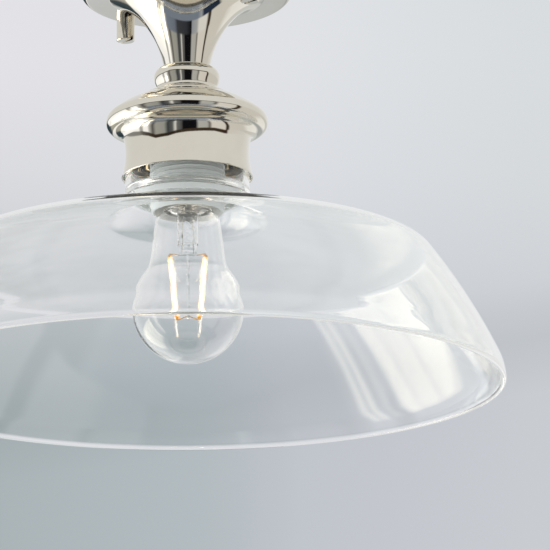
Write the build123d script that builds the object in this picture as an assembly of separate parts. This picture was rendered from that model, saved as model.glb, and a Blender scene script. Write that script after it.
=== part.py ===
from build123d import *
import os
from math import cos, radians, sin

# Semi flush ceiling light, in millimetres: a spun and turned fitting on a ceiling strap,
# a screw lampholder, a clear glass shade held by a ring, and a filament lamp.
# Frame: origin on the axis in the ceiling plane, +Z up, +X along the line of the two rose nuts.
# Everything hangs below the ceiling, so heights are negative and are worked out from the top down.

# ---------------------------------------------------------------- ceiling strap and its studs
strap_gap = 2.4                # strap's end to the inside of the rose
strap_width = 20.0
strap_wall = 1.5
slot_r = 2.4
slot_stud_web = 3.0            # between a ceiling screw slot and the stud beyond it
slot_earth_gap = 3.7           # between a slot and the head of the earth screw
stud_r = 2.0
stud_end_gap = 0.3             # stud's end to the bottom of its nut's bore
lock_nut_flats = 7.0
lock_nut_height = 3.2

# ---------------------------------------------------------------- terminal block on the strap
block_poles = 3
pole_pitch = 8.0
block_centre_x = -5.0
block_width = 17.0
block_height = 13.0
block_wall = 1.0               # beyond the end poles
pole_bore_r = 2.6
pole_tube_bore_r = 1.7
pole_screw_r = 1.5
pole_screw_head = 1.2          # driver slot depth included
block_screw_r = 1.25
block_screw_head_r = 2.3
block_screw_head = 1.8
earth_screw_x = 13.5
earth_screw_r = 2.0
earth_screw_head_r = 3.8
earth_screw_head = 2.4
earth_screw_length = 7.0

# ---------------------------------------------------------------- rose: one spun dish and trumpet
rose_wall = 1.2
rose_r = 57.9
rose_rim_r = 3.6               # rolled edge, outer radius
rose_depth = 7.6               # ceiling to the flat flange
trumpet_lip_r = 1.95
trumpet_lip_turn = 19.0
trumpet_flare_r = 37.7
trumpet_flare_turn = 29.1
trumpet_waist_turn = 29.45
trumpet_foot_run = 4.8         # straight end, down to the bead
trumpet_foot_r = 12.36
stud_clearance = 0.4

# ---------------------------------------------------------------- rose nuts and washers
rose_washer_r = 5.1
rose_washer_wall = 0.8
washer_inner_gap = 0.1         # washer to the start of the trumpet
washer_outer_gap = 1.2         # washer to the start of the rolled edge
rose_nut_r = 5.0
rose_nut_length = 12.8
rose_nut_web = 1.2             # between the bore and the driver slot
rose_nut_edge = 0.4             # at the nut's lower end
rose_nut_clearance = 0.06
driver_slot_width = 1.6
driver_slot_depth = 2.4

# ---------------------------------------------------------------- threaded tube through the fitting
tube_r = 5.0
tube_bore_r = 3.7
tube_clearance = 0.15
tube_stand = 2.5               # tube left proud of its top nut
tube_nut_flats = 14.0
tube_nut_height = 4.5
tube_washer_r = 9.0
tube_washer_wall = 1.0

# ---------------------------------------------------------------- turned collar: bead, neck, foot
bead_r = 17.9
bead_round = 5.0
neck_taper_r = 9.6
neck_taper = 22.0              # degrees
neck_run = 1.99
foot_cove_r = 3.0
foot_slope = 17.0              # degrees below level
foot_r = 25.0
foot_edge = 0.7

# ---------------------------------------------------------------- gallery: spun dome and cup
gallery_wall = 0.9
seat_margin = 1.0              # the flat seat ends this far inside the foot
gallery_bend_r = 6.0
gallery_dome_r = 46.5
gallery_roll_r = 5.18
gallery_cove_r = 6.26
gallery_cup_r = 47.5
gallery_moves = [
    (gallery_bend_r, -18.0),   # off the seat
    (gallery_dome_r, -23.4),   # dome
    (gallery_roll_r, -130.4),  # rolled widest edge
    (gallery_cove_r, 72.7),    # back out under the roll
    (gallery_cup_r, 25.0),     # cup, flared a little towards its edge
]

# ---------------------------------------------------------------- lampholder
holder_reach = 20.0            # cup edge to the holder's mouth
holder_nut_gap = 0.7           # under the tube's lower nut
holder_r = 19.6
holder_wall = 1.8
holder_cap_step = 1.0          # cap's radius beyond the body's
holder_cap_wall = 1.8
holder_cap_height = 17.0
holder_cap_dome = 9.5
holder_neck_r = 8.2
holder_neck_height = 6.5
holder_lip = 0.8
carrier_wall = 5.0
carrier_depth = 31.4           # holder's mouth to the carrier's underside
shell_clearance = 0.25         # around the lamp's cap
shell_wall = 0.5
shell_length = 21.0
contact_head_r = 3.2
contact_head = 2.2
contact_stem_r = 1.5
contact_stem_clearance = 0.05
contact_travel = 1.5
contact_overtravel = 0.3
contact_tail = 3.0             # stem left above the carrier after full travel
terminal_offset = 10.5
terminal_length = 7.0
terminal_width = 6.0
terminal_height = 5.0
terminal_screw_r = 1.4
terminal_screw_height = 2.2

# ---------------------------------------------------------------- glass shade
glass_wall = 3.0
collar_nest = 2.2              # glass collar inside the cup
collar_gap = 1.0               # between the glass collar and the cup's edge
glass_collar_run = 10.8        # straight part of the collar
shade_cove_r = 14.0
shade_top_r = 925.0
shade_shoulder_r = 8.5
shade_side_r = 337.0
shade_rim_r = 31.0
shade_top_moves = [
    (shade_cove_r, 78.7),      # cove under the collar
    (shade_top_r, -5.3),       # nearly flat top
]
shade_side_moves = [
    (shade_shoulder_r, -37.0),  # rounded shoulder
    (shade_side_r, -11.3),     # long flared side
    (shade_rim_r, -25.1),      # upright rim
]
glass_seat_clearance = 0.3     # hole that passes the lampholder
glass_seat_wall = 3.0
glass_seat_rise = 1.2          # seat's top above the end of the collar
gasket_height = 2.0
gasket_width = 2.6
gasket_gap = 0.3

# ---------------------------------------------------------------- shade ring
ring_glass_gap = 2.6           # inside the glass collar
ring_height = 3.6
ring_plate = 1.4
ring_rim_wall = 1.8
ring_hub_wall = 1.8
ring_bore_clearance = 0.3
ring_ribs = 15
ring_rib_width = 1.4
ring_gap = 0.05                # under the glass seat

# ---------------------------------------------------------------- lamp
lamp_tip_gap = 0.3             # between the lamp's contact and the sprung contact
cap_r = 13.1
cap_wall = 0.4
cap_length = 21.0
insulator_height = 3.4
insulator_low_r = 11.0
insulator_top_r = 5.6
tip_r = 4.6
tip_height = 1.6
lamp_glass_wall = 0.8
lamp_ball_r = 30.0
lamp_neck_r = 17.4
lamp_neck_drop = 5.5           # cap edge to the neck's start
lamp_neck_run = 11.5
lamp_neck_flare = 1.8          # neck's growth along its run
lamp_root = 2.0                # glass inside the cap
lamp_ball_drop = 53.5          # cap edge to the ball's centre
stem_r = 5.6
stem_flare_drop = 2.0          # stem's flare, below the cap's edge
stem_flare_rise = 1.0
stem_wall = 0.7
stem_length = 25.0
stem_pinch_length = 6.0
stem_pinch_width = 10.0
stem_pinch_wall = 3.2
rod_r = 0.8
rod_length = 34.0
filament_length = 32.0
filament_width = 1.7
filament_wall = 0.9
filament_tab = 2.0
filament_top_r = 9.4
filament_low_r = 6.0
filament_top_drop = 26.0       # cap edge to the filament's top
filament_azimuth = 45.0        # degrees from +X
wire_r = 0.3
driver_r = 9.5
driver_height = 1.2
driver_drop = 7.0              # below the cap's top edge

PARTS = "parts"


def turned(outline):
    """Solid of revolution about Z from a closed outline of (radius, height) corners."""
    corners = [(r, 0, z) for r, z in outline]
    return revolve(make_face(Polyline(*corners, close=True)), Axis.Z)


def ring(inner, outer, low, high):
    """Plain ring or washer about Z; inner 0 makes a disc."""
    return turned([(inner, low), (outer, low), (outer, high), (inner, high)])


def walk(start, heading, moves, shift=0.0):
    """Chain of tangent arcs and straight runs in the (radius, height) plane.

    A move is (radius, turn in degrees), left turns positive, or (length, 0) for a straight run.
    shift moves the chain to its right, so two walks of the same moves bound one even wall.
    Returns the edges, the end point and the end heading.
    """
    right = (sin(radians(heading)), -cos(radians(heading)))
    point = (start[0] + shift * right[0], start[1] + shift * right[1])
    edges = []
    for size, turn in moves:
        ahead = (cos(radians(heading)), sin(radians(heading)))
        if turn == 0:
            end = (point[0] + size * ahead[0], point[1] + size * ahead[1])
            edges.append(Line((point[0], 0, point[1]), (end[0], 0, end[1])))
            point = end
            continue
        side = 1 if turn > 0 else -1
        radius = size + side * shift
        centre = (point[0] - side * radius * ahead[1], point[1] + side * radius * ahead[0])

        def swing(angle):
            spin = radians(heading + angle)
            return (centre[0] + side * radius * sin(spin), centre[1] - side * radius * cos(spin))

        middle = swing(turn / 2)
        end = swing(turn)
        edges.append(ThreePointArc((point[0], 0, point[1]), (middle[0], 0, middle[1]), (end[0], 0, end[1])))
        point = end
        heading += turn
    return edges, point, heading


def join(*chain):
    """Close a section from edges and (radius, height) points, and revolve it about Z."""
    edges = []
    for item in chain:
        edges.extend(item)
    return revolve(make_face(edges), Axis.Z)


def link(a, b):
    """Straight edge between two (radius, height) points."""
    return [Line((a[0], 0, a[1]), (b[0], 0, b[1]))]


def shell(start, heading, moves, wall):
    """Even wall of revolution whose outer face is the walk; the inner face lies to its right."""
    outer, outer_end, _ = walk(start, heading, moves)
    inner, inner_end, _ = walk(start, heading, moves, wall)
    inner_start = walk(start, heading, [(0.001, 0)], wall)[0][0] @ 0
    return join(outer, link(outer_end, inner_end), inner, link(start, (inner_start.X, inner_start.Z)))


def hex_nut(flats, bore, low, height, x=0.0):
    """Hexagon nut about a vertical axis, standing up from low."""
    blank = extrude(RegularPolygon(flats / 2, 6, major_radius=False), height)
    blank -= Cylinder(bore, 3 * height)
    return Pos(x, 0, low) * blank


def post(radius, low, high, x=0.0, y=0.0):
    """Vertical round post between two heights."""
    return Pos(x, y, (low + high) / 2) * Cylinder(radius, high - low)


def bar(a, b, radius):
    """Straight round wire from a to b."""
    a = Vector(*a)
    b = Vector(*b)
    plane = Plane(origin=a, z_dir=b - a)
    return extrude(plane * Circle(radius), (b - a).length)


def save(name, solids):
    """Write one node."""
    part = solids if isinstance(solids, (Part, Compound, Solid)) else Compound(children=list(solids))
    part.label = name
    export_step(part, os.path.join(PARTS, name + ".step"))


os.makedirs(PARTS, exist_ok=True)

# ---------------------------------------------------------------- heights, from the ceiling down
strap_under = -strap_wall
block_under = strap_under - block_height
flange_face = -rose_depth
flange_inside = flange_face + rose_wall

rose_flat = washer_inner_gap + 2 * rose_washer_r + washer_outer_gap
trumpet_mouth_r = rose_r - rose_rim_r - rose_flat
stud_reach = trumpet_mouth_r + washer_inner_gap + rose_washer_r
lip_end = radians(trumpet_lip_turn)
flare_end = lip_end + radians(trumpet_flare_turn)
waist_end = flare_end + radians(trumpet_waist_turn)
lip_run = trumpet_lip_r * sin(lip_end)
flare_run = trumpet_flare_r * (sin(flare_end) - sin(lip_end))
foot_run = trumpet_foot_run * cos(waist_end)
waist_run = trumpet_mouth_r - trumpet_foot_r - lip_run - flare_run - foot_run
trumpet_waist_r = waist_run / (sin(waist_end) - sin(flare_end))    # lands on the foot's radius
rose_moves = [
    (rose_depth - rose_rim_r, 0),
    (rose_rim_r, -90.0),
    (rose_flat, 0),
    (trumpet_lip_r, trumpet_lip_turn),
    (trumpet_flare_r, trumpet_flare_turn),
    (trumpet_waist_r, trumpet_waist_turn),
    (trumpet_foot_run, 0),
]
_, rose_foot, _ = walk((rose_r, 0.0), -90.0, rose_moves)
collar_top = rose_foot[1]
rose_floor = collar_top + rose_wall
washer_under = flange_face - rose_washer_wall
nut_under = washer_under - rose_nut_length
nut_bore_end = nut_under + driver_slot_depth + rose_nut_web
stud_low = nut_bore_end + stud_end_gap

# ---------------------------------------------------------------- ceiling strap
strap_length = 2 * (rose_r - rose_wall - strap_gap)
slot_outer = stud_reach - stud_r - slot_stud_web
slot_inner = earth_screw_x + earth_screw_head_r + slot_earth_gap
slot_length = slot_outer - slot_inner
slot_middle = (slot_outer + slot_inner) / 2
strap = Pos(0, 0, strap_under / 2) * Box(strap_length, strap_width, strap_wall)
strap = fillet(strap.edges().filter_by(Axis.Z), strap_width * 0.3)
slot = extrude(SlotOverall(slot_length, 2 * slot_r), -2 * strap_wall)
for side in (-1, 1):
    strap -= Pos(side * slot_middle, 0, strap_wall / 2) * slot
    strap -= Pos(side * stud_reach, 0, 0) * Cylinder(stud_r, 3 * strap_wall)
block_screw_x = block_centre_x - pole_pitch / 2
strap -= Pos(block_screw_x, 0, 0) * Cylinder(block_screw_r, 3 * strap_wall)
strap -= Pos(earth_screw_x, 0, 0) * Cylinder(earth_screw_r, 3 * strap_wall)
save("ceiling_bracket", strap)

studs = []
lock_nuts = []
for side in (-1, 1):
    x = side * stud_reach
    studs.append(post(stud_r, stud_low, 0.0, x))
    lock_nuts.append(hex_nut(lock_nut_flats, stud_r, strap_under - lock_nut_height, lock_nut_height, x))
save("bracket_studs", studs)
save("stud_lock_nuts", lock_nuts)

# ---------------------------------------------------------------- terminal block
block_length = (block_poles - 1) * pole_pitch + 2 * (pole_bore_r + block_wall)
block_middle = strap_under - block_height / 2
pole_x = [block_centre_x + (i - (block_poles - 1) / 2) * pole_pitch for i in range(block_poles)]
block = Pos(block_centre_x, 0, block_middle) * Box(block_length, block_width, block_height)
block = fillet(block.edges().filter_by(Axis.Z), block_wall)
screw_well_r = pole_screw_r + 0.4
pole_tubes = []
pole_screws = []
for x in pole_x:
    across = Pos(x, 0, block_middle) * Rot(90, 0, 0)
    block -= across * Cylinder(pole_bore_r, 2 * block_width)
    block -= post(screw_well_r, block_under - 1, block_middle, x)
    tube = Cylinder(pole_bore_r, block_width * 0.6) - Cylinder(pole_tube_bore_r, block_width)
    tube = across * tube
    tube -= post(pole_screw_r, block_under, block_middle, x)
    pole_tubes.append(tube)
    low = block_middle - pole_bore_r - 2 * pole_screw_head
    screw = post(pole_screw_r, low, block_middle - pole_tube_bore_r * 0.5, x)
    notch = Box(4 * pole_screw_r, pole_screw_r * 0.4, pole_screw_head)
    screw -= Pos(x, 0, low + pole_screw_head / 2) * notch
    pole_screws.append(screw)
block -= post(block_screw_r, block_under - 1, strap_under + 1, block_screw_x)
head_seat = block_under + block_screw_head
block -= post(block_screw_head_r, block_under - 1, head_seat, block_screw_x)
save("terminal_block", block)
save("terminal_tubes", pole_tubes)
save("terminal_screws", pole_screws)

block_screw = post(block_screw_r, head_seat, 0.0, block_screw_x)
block_screw += post(block_screw_head_r, block_under, head_seat, block_screw_x)
cross = Box(3 * block_screw_r, 0.6, block_screw_head) + Box(0.6, 3 * block_screw_r, block_screw_head)
block_screw -= Pos(block_screw_x, 0, block_under) * cross
save("block_screw", block_screw)

earth_screw = post(earth_screw_r, -earth_screw_length, 0.0, earth_screw_x)
head_low = -earth_screw_length - earth_screw_head
earth_screw += post(earth_screw_head_r, head_low, -earth_screw_length, earth_screw_x)
earth_notch = Box(3 * earth_screw_head_r, 1.0, earth_screw_head)
earth_screw -= Pos(earth_screw_x, 0, head_low) * earth_notch
save("earth_screw", earth_screw)

# ---------------------------------------------------------------- rose
rose = shell((rose_r, 0.0), -90.0, rose_moves, rose_wall)
rose += ring(tube_r + tube_clearance, rose_foot[0] - rose_wall / 2, collar_top, rose_floor)
for side in (-1, 1):
    rose -= Pos(side * stud_reach, 0, flange_face) * Cylinder(stud_r + stud_clearance, 4 * rose_wall)
save("rose", rose)

# ---------------------------------------------------------------- rose washers and slotted nuts
nut_bore_r = stud_r + rose_nut_clearance
for side, name in ((-1, "a"), (1, "b")):
    x = side * stud_reach
    washer = Pos(x, 0, 0) * ring(nut_bore_r, rose_washer_r, washer_under, flange_face)
    nut = post(rose_nut_r, nut_under, washer_under, x)
    nut = chamfer(nut.edges().group_by(Axis.Z)[0], rose_nut_edge)
    nut -= post(nut_bore_r, nut_bore_end, washer_under + 1, x)
    nut -= Pos(x, 0, nut_under) * Box(3 * rose_nut_r, driver_slot_width, 2 * driver_slot_depth)
    save("rose_washer_" + name, washer)
    save("rose_nut_" + name, nut)

# ---------------------------------------------------------------- collar: bead, neck and flared foot
collar_moves = [
    (bead_round, -90.0),
    (neck_taper_r, -neck_taper),
    (neck_run, 0),
    (foot_cove_r, 90.0 + neck_taper - foot_slope),
]
bead_start = (bead_r - bead_round, collar_top)
collar_edges, cove_end, _ = walk(bead_start, 0.0, collar_moves)
foot_top = cove_end[1] - (foot_r - cove_end[0]) * sin(radians(foot_slope)) / cos(radians(foot_slope))
seat = foot_top - foot_edge
collar_bore = tube_r + tube_clearance
collar = join(
    link((collar_bore, collar_top), bead_start),
    collar_edges,
    link(cove_end, (foot_r, foot_top)),
    link((foot_r, foot_top), (foot_r, seat)),
    link((foot_r, seat), (collar_bore, seat)),
    link((collar_bore, seat), (collar_bore, collar_top)),
)
save("collar", collar)

# ---------------------------------------------------------------- gallery: dome and cup
gallery_path = [(foot_r - seat_margin - collar_bore, 0)] + gallery_moves
gallery = shell((collar_bore, seat), 0.0, gallery_path, gallery_wall)
save("gallery", gallery)
_, cup_edge, _ = walk((collar_bore, seat), 0.0, gallery_path)
cup_inner_edges, cup_inner, _ = walk((collar_bore, seat), 0.0, gallery_path, gallery_wall)
cup_low = min(cup_edge[1], cup_inner[1])
gallery_hollow = join(
    cup_inner_edges,
    link(cup_inner, (0.0, cup_inner[1])),
    link((0.0, cup_inner[1]), (0.0, seat - gallery_wall)),
    link((0.0, seat - gallery_wall), (collar_bore, seat - gallery_wall)),
)

# ---------------------------------------------------------------- threaded tube, nuts and washers
lock_washer_high = seat - gallery_wall
lock_nut_high = lock_washer_high - tube_washer_wall
lock_nut_low = lock_nut_high - tube_nut_height
holder_mouth = cup_low - holder_reach
holder_top = lock_nut_low - holder_nut_gap
holder_cap_r = holder_r + holder_cap_step
top_washer_high = rose_floor + tube_washer_wall
tube_top = top_washer_high + tube_nut_height + tube_stand
neck_inside = holder_top - holder_neck_height
tube = ring(tube_bore_r, tube_r, neck_inside, tube_top)
save("threaded_tube", tube)
save("tube_top_washer", ring(tube_r, tube_washer_r, rose_floor, top_washer_high))
save("tube_top_nut", hex_nut(tube_nut_flats, tube_r, top_washer_high, tube_nut_height))
save("tube_lock_washer", ring(tube_r, tube_washer_r, lock_nut_high, lock_washer_high))
save("tube_lock_nut", hex_nut(tube_nut_flats, tube_r, lock_nut_low, tube_nut_height))

# ---------------------------------------------------------------- lampholder cap and body
cap_edge = holder_top - holder_cap_height
cap_shoulder = holder_top - holder_neck_height
cap_round = cap_edge + (holder_cap_height - holder_neck_height - holder_cap_dome)
holder_cap = turned([
    (tube_r, holder_top),
    (holder_neck_r, holder_top),
    (holder_neck_r, cap_shoulder + 0.5),
    (holder_cap_r - holder_cap_dome * 0.6, cap_shoulder),
    (holder_cap_r - holder_cap_dome * 0.2, cap_shoulder - holder_cap_dome * 0.3),
    (holder_cap_r, cap_shoulder - holder_cap_dome * 0.7),
    (holder_cap_r, cap_edge),
    (holder_cap_r - holder_cap_wall, cap_edge),
    (holder_cap_r - holder_cap_wall, cap_shoulder - holder_cap_dome * 0.7),
    (holder_cap_r - holder_cap_dome * 0.2 - holder_cap_wall, cap_shoulder - holder_cap_dome * 0.4),
    (holder_cap_r - holder_cap_dome * 0.6 - holder_cap_wall, cap_shoulder - holder_cap_wall),
    (tube_r, cap_shoulder - holder_cap_wall),
])
save("holder_cap", holder_cap)

holder_inner_r = holder_r - holder_wall
holder_body = ring(holder_inner_r, holder_r, holder_mouth, cap_edge)
holder_body = chamfer(holder_body.edges().group_by(Axis.Z)[0], holder_lip)
save("holder_body", holder_body)

carrier_under = holder_mouth + carrier_depth
carrier_top = carrier_under + carrier_wall
carrier = ring(contact_stem_r + contact_stem_clearance, holder_inner_r, carrier_under, carrier_top)
save("contact_carrier", carrier)
shell_bore_r = cap_r + shell_clearance
save("screw_shell", ring(shell_bore_r, shell_bore_r + shell_wall, carrier_under - shell_length, carrier_under))

contact_face = carrier_under - contact_overtravel - contact_travel - contact_head
contact = post(contact_head_r, contact_face, contact_face + contact_head)
contact = fillet(contact.edges().group_by(Axis.Z)[0], contact_head * 0.4)
contact += post(contact_stem_r, contact_face + contact_head, carrier_top + contact_tail)
save("centre_contact", contact)

terminals = []
for side in (-1, 1):
    x = side * terminal_offset
    middle = carrier_top + terminal_height / 2
    terminal = Pos(x, 0, middle) * Box(terminal_width, terminal_length, terminal_height)
    terminal -= Pos(x, 0, middle) * Rot(90, 0, 0) * Cylinder(terminal_screw_r, 2 * terminal_length)
    high = carrier_top + terminal_height
    terminal += post(terminal_screw_r * 1.4, high, high + terminal_screw_height, x)
    terminals.append(terminal)
save("holder_terminals", terminals)

# ---------------------------------------------------------------- glass shade
collar_high = cup_low + collar_nest
collar_r = cup_inner[0] - collar_gap
collar_start = (collar_r, collar_high)
collar_run = [(glass_collar_run, 0)]
_, cove_start, _ = walk(collar_start, -90.0, collar_run)
_, shoulder_start, shoulder_heading = walk(cove_start, -90.0, shade_top_moves)
_, rim, _ = walk(shoulder_start, shoulder_heading, shade_side_moves)
# One piece of glass, as four rings that meet face to face, so each stays an even wall.
shade_collar = shell(collar_start, -90.0, collar_run, glass_wall)
shade_top = shell(cove_start, -90.0, shade_top_moves, glass_wall)
shade_side = shell(shoulder_start, shoulder_heading, shade_side_moves, glass_wall)
seat_top = cove_start[1] + glass_seat_rise
seat_under = seat_top - glass_seat_wall
glass_seat_r = holder_cap_r + glass_seat_clearance
shade_seat = ring(glass_seat_r, collar_r - glass_wall / 2, seat_under, seat_top)
shade_seat -= shade_collar
shade_seat -= shade_top
save("shade_collar", shade_collar)
save("shade_seat", shade_seat)
save("shade_top", shade_top)
save("shade_side", shade_side)

gasket_low = collar_high + gasket_gap
gasket_blank = ring(collar_r - gasket_width, collar_r + gasket_width, gasket_low, gasket_low + gasket_height)
save("neck_gasket", gasket_blank & gallery_hollow)

# ---------------------------------------------------------------- shade ring, screwed on the holder
ring_top = seat_under - ring_gap
ring_low = ring_top - ring_height
ring_bore = holder_r + ring_bore_clearance
ring_r = collar_r - glass_wall - ring_glass_gap
shade_ring = turned([
    (ring_bore, ring_top),
    (ring_r, ring_top),
    (ring_r, ring_low),
    (ring_r - ring_rim_wall, ring_low),
    (ring_r - ring_rim_wall, ring_top - ring_plate),
    (ring_bore + ring_hub_wall, ring_top - ring_plate),
    (ring_bore + ring_hub_wall, ring_low),
    (ring_bore, ring_low),
])
rib_span = ring_r - ring_bore - ring_rim_wall / 2 - ring_hub_wall / 2
rib_r = ring_bore + ring_hub_wall / 2 + rib_span / 2
rib = Pos(rib_r, 0, (ring_top + ring_low) / 2) * Box(rib_span, ring_rib_width, ring_height)
for i in range(ring_ribs):
    shade_ring += Rot(0, 0, i * 360 / ring_ribs) * rib
save("shade_ring", shade_ring)

# ---------------------------------------------------------------- lamp cap
lamp_tip = contact_face - lamp_tip_gap
insulator_top = lamp_tip - tip_height
cap_top = insulator_top - insulator_height
cap_low = cap_top - cap_length
save("lamp_tip", ring(0.0, tip_r, insulator_top, lamp_tip))
save("lamp_insulator", turned([
    (0.0, cap_top),
    (insulator_low_r, cap_top),
    (insulator_top_r, insulator_top),
    (0.0, insulator_top),
]))
lamp_cap = ring(cap_r - cap_wall, cap_r, cap_low, cap_top)
lamp_cap += ring(insulator_low_r - 2 * cap_wall, cap_r, cap_top - cap_wall, cap_top)
save("lamp_cap", lamp_cap)

# ---------------------------------------------------------------- lamp glass
ball = cap_low - lamp_ball_drop
neck_high = cap_low - lamp_neck_drop
neck_low = neck_high - lamp_neck_run
glass_fit_r = cap_r - cap_wall
root_high = cap_low + lamp_root


def lamp_face(inset):
    """Outline of the lamp's glass, inset by its wall, as edges from the root to the tip."""
    root = (glass_fit_r - inset, root_high)
    edge = (glass_fit_r - inset, cap_low)
    neck = (lamp_neck_r - inset, neck_high)
    lower = (lamp_neck_r + lamp_neck_flare - inset, neck_low)
    r = lamp_ball_r - inset
    rise = radians(38.0)
    touch = (r * cos(rise), ball + r * sin(rise))
    tip = (0.0, ball - r)
    side = (r, ball)
    curve = Spline(
        [(p[0], 0, p[1]) for p in (edge, neck, lower, touch)],
        tangents=[(0.35, 0, -1.0), (sin(rise), 0, -cos(rise))],
    )
    arc = ThreePointArc(
        (touch[0], 0, touch[1]),
        (r * cos(radians(-20)), 0, ball + r * sin(radians(-20))),
        (tip[0], 0, tip[1]),
    )
    return link(root, edge) + [curve, arc], root, tip


outer_edges, outer_root, outer_tip = lamp_face(0.0)
inner_edges, inner_root, inner_tip = lamp_face(lamp_glass_wall)
lamp_glass = join(outer_edges, link(outer_tip, inner_tip), inner_edges, link(inner_root, outer_root))
save("lamp_glass", lamp_glass)

# ---------------------------------------------------------------- lamp stem, rod, wires, filaments
flare_r = glass_fit_r - lamp_glass_wall
stem_low = cap_low - stem_length
pinch_high = stem_low + stem_pinch_length
stem = turned([
    (stem_r, pinch_high),
    (stem_r, cap_low - stem_flare_drop),
    (flare_r, cap_low + stem_flare_rise),
    (flare_r, cap_low + stem_flare_rise + stem_wall),
    (stem_r - stem_wall, cap_low - stem_flare_drop + stem_wall),
    (stem_r - stem_wall, pinch_high),
])
pinch = Pos(0, 0, (stem_low + pinch_high) / 2) * Box(stem_pinch_width, stem_pinch_wall, stem_pinch_length)
pinch = fillet(pinch.edges().filter_by(Axis.Z), stem_pinch_wall * 0.3)
pinch = Rot(0, 0, filament_azimuth) * pinch
rod_low = stem_low - rod_length
stem += pinch
stem += post(rod_r, rod_low, stem_low)
save("lamp_stem", stem)

azimuth = radians(filament_azimuth)
filament_top = cap_low - filament_top_drop
lean = filament_top_r - filament_low_r
filament_drop = (filament_length ** 2 - lean ** 2) ** 0.5
filament_low = filament_top - filament_drop
filaments = []
wires = []
for side in (-1, 1):
    top = Vector(side * filament_top_r * cos(azimuth), side * filament_top_r * sin(azimuth), filament_top)
    low = Vector(side * filament_low_r * cos(azimuth), side * filament_low_r * sin(azimuth), filament_low)
    across = Vector(-sin(azimuth), cos(azimuth), 0)
    plane = Plane(origin=top, x_dir=across, z_dir=low - top)
    filaments.append(extrude(plane * Rectangle(filament_width, filament_wall), filament_length))
    way = (low - top).normalized()
    top_tab = top - way * filament_tab
    low_tab = low + way * filament_tab
    wires.append(bar(top_tab, top, wire_r))
    wires.append(bar(low, low_tab, wire_r))
    foot = (side * rod_r * cos(azimuth), side * rod_r * sin(azimuth), rod_low + 1.0)
    wires.append(bar(low_tab, foot, wire_r))
    lead = (side * stem_pinch_width * 0.45 * cos(azimuth), side * stem_pinch_width * 0.45 * sin(azimuth), stem_low)
    wires.append(bar(lead, top_tab, wire_r))
save("lamp_filaments", filaments)
save("lamp_wires", wires)

driver_z = cap_top - driver_drop
save("lamp_driver", ring(0.0, driver_r, driver_z - driver_height, driver_z))

print("rose foot", rose_foot, "seat", seat, "cup edge", cup_edge, "cup inner", cup_inner)
print("holder", holder_top, holder_mouth, "contact", contact_face, "ring", ring_top, ring_low)
print("lamp", lamp_tip, cap_low, ball, ball - lamp_ball_r, "rim", rim, "nut", nut_under)
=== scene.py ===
"""Looks of the semi flush ceiling light: finishes, high resolution turned forms, lamp detail, studio."""

import math

import bmesh
import bpy
from mathutils import Matrix, Vector


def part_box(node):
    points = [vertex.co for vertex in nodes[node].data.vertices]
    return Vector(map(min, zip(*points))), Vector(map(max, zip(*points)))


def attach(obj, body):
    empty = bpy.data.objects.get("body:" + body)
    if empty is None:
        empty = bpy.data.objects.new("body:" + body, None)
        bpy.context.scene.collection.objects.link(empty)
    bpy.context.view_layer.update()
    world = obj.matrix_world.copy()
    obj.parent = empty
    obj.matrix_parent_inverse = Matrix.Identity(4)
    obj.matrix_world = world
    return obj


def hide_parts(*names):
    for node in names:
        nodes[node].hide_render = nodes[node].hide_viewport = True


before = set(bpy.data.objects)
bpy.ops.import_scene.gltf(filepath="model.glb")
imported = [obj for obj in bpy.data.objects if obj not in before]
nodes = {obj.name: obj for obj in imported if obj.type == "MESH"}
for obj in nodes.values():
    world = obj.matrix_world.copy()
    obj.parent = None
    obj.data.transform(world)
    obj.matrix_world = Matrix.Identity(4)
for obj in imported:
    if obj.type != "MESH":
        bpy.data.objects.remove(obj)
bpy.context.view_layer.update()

MM = 0.001

# ---------------------------------------------------------------- sizes, in millimetres and degrees
# Moves are for walk(): (radius, turn) is an arc and (length, 0) a straight run. Lists of (out, up) pairs
# are for around(): they lead an outline from one of its corners.
ROSE_R = 57.9
ROSE_RIM_R = 3.6
ROSE_DEPTH = 7.6
ROSE_WALL = 1.2
TRUMPET_MOUTH_R = 42.8
TRUMPET_MOVES = [(1.95, 19.0), (37.7, 29.1), (55.92, 29.45), (4.8, 0)]

TUBE_HOLE_R = 5.15
BEAD_R = 17.9
BEAD_ROUND = 5.0
FOOT_R = 25.0
FOOT_EDGE = 0.7
FOOT_SLOPE = 17.0
FOOT_LIFT = 0.01                # foot's underside off the dome, so that the two faces don't flicker
FOOT_CORNER = [(-0.25, 0.05), (0.0, -0.2)]
COLLAR_MOVES = [(BEAD_ROUND, -90.0), (9.6, -22.0), (1.99, 0), (3.0, 95.0)]

GALLERY_WALL = 0.9
GALLERY_MOVES = [(18.85, 0), (6.0, -18.0), (46.5, -23.4), (5.18, -130.4), (6.26, 72.7), (47.5, 25.0)]

GLASS_WALL = 3.0
GLASS_GAP = 1.0                 # glass collar to the inside of the cup
GLASS_COLLAR_LENGTH = 10.8
GLASS_ROUND = 1.2               # at the collar's top, the seat's hole and the seat's upper root
GLASS_UNDER_ROUND = 1.3         # at the seat's lower root
GLASS_UNDER_CLEAR = 1.4         # seat's underside to the first point of the inner face
SEAT_R = 20.9
SEAT_RISE = 0.4                 # seat's top above the collar's end, as a share of the wall
SHADE_MOVES = [(14.0, 78.7), (925.0, -5.3), (8.5, -37.0), (337.0, -11.3), (31.0, -22.5)]

HOLDER_R = 19.6
HOLDER_WALL = 1.8
HOLDER_MOUTH = [(-0.9, 0.0), (-0.25, 0.25), (0.0, 0.9)]
HOLDER_MOUTH_BORE = [(0.0, 0.8), (0.3, 0.2)]
HOLDER_PITCH = 2.5
HOLDER_THREAD = (2.2, 27.0)     # its two ends, above the mouth
HOLDER_THREAD_DEPTH = 0.8
HOLDER_THREAD_SHARE = 0.5       # ridge's width, as a share of the pitch

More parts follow.
